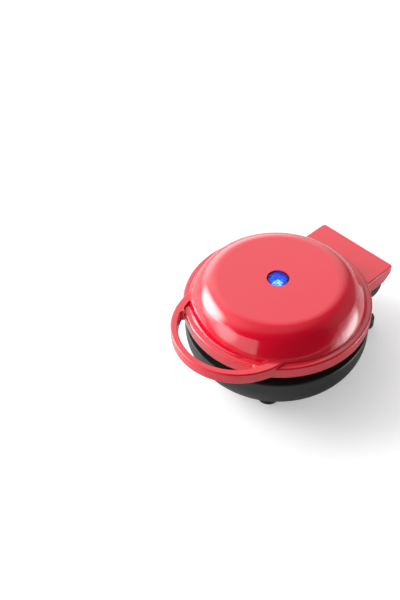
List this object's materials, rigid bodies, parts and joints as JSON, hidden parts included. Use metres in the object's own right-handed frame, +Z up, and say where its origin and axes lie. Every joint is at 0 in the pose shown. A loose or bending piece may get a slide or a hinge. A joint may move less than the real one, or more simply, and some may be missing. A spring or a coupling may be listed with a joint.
{
  "type": "mini waffle maker",
  "caption": "Small round electric waffle maker: red domed lid with a crescent handle and a blue lamp, hinged on a black bowl-shaped base with feet, with waffle grid plates inside.",
  "frame": {"origin": "middle of the whole footprint, on the surface that the feet stand on", "axes": "+Z up, +Y from the handle towards the hinge, +X to the right seen from the handle"},
  "size_m": [0.127, 0.1658, 0.071],
  "materials": {
    "lid_red": "glossy moulded red plastic",
    "base_black": "satin black heat-resistant plastic",
    "liner_black": "satin black heat-resistant plastic",
    "nonstick": "cast aluminium under a dark satin non-stick coating",
    "element_steel": "dull drawn steel sheath",
    "shield_aluminium": "bright pressed sheet",
    "screw_steel": "zinc plated",
    "clip_steel": "plain sheet steel",
    "pin_steel": "ground steel",
    "thermostat": "unglazed ceramic body",
    "fuse_metal": "tinned metal case",
    "terminal_plastic": "natural moulded plastic",
    "terminal_brass": "plain brass",
    "lead_sleeve": "glass and silicone sleeved wire",
    "gland_plastic": "black plastic bush",
    "foot_rubber": "black rubber",
    "lens_blue": "clear blue moulded plastic",
    "holder_plastic": "white plastic",
    "lamp_glow": "clear glass lamp"
  },
  "bodies": {
    "base": {"base_shell": "base_black", "lower_plate": "nonstick", "lower_element": "element_steel", "lower_heat_shield": "shield_aluminium", "lower_plate_screws": "screw_steel", "thermostat": "thermostat", "thermostat_clip": "clip_steel", "thermal_fuse": "fuse_metal", "fuse_clip": "clip_steel", "clip_screws": "screw_steel", "terminal_block": "terminal_plastic", "terminal_screws": "terminal_brass", "base_leads": "lead_sleeve", "cord_gland": "gland_plastic", "hinge_pins": "pin_steel", "foot_front_left": "foot_rubber", "foot_front_right": "foot_rubber", "foot_rear_left": "foot_rubber", "foot_rear_right": "foot_rubber"},
    "lid": {"lid_cover": "lid_red", "lid_liner": "liner_black", "upper_plate": "nonstick", "upper_element": "element_steel", "upper_heat_shield": "shield_aluminium", "upper_plate_screws": "screw_steel", "indicator_lens": "lens_blue", "lamp_holder": "holder_plastic", "indicator_lamp": "lamp_glow", "lid_leads": "lead_sleeve"}
  },
  "joints": [
    {"name": "lid_hinge", "type": "hinge", "parent": "base", "child": "lid", "pos_m": [0, 0.06735, 0.0348], "axis": [-1, 0, 0], "range_deg": [0, 100]}
  ]
}
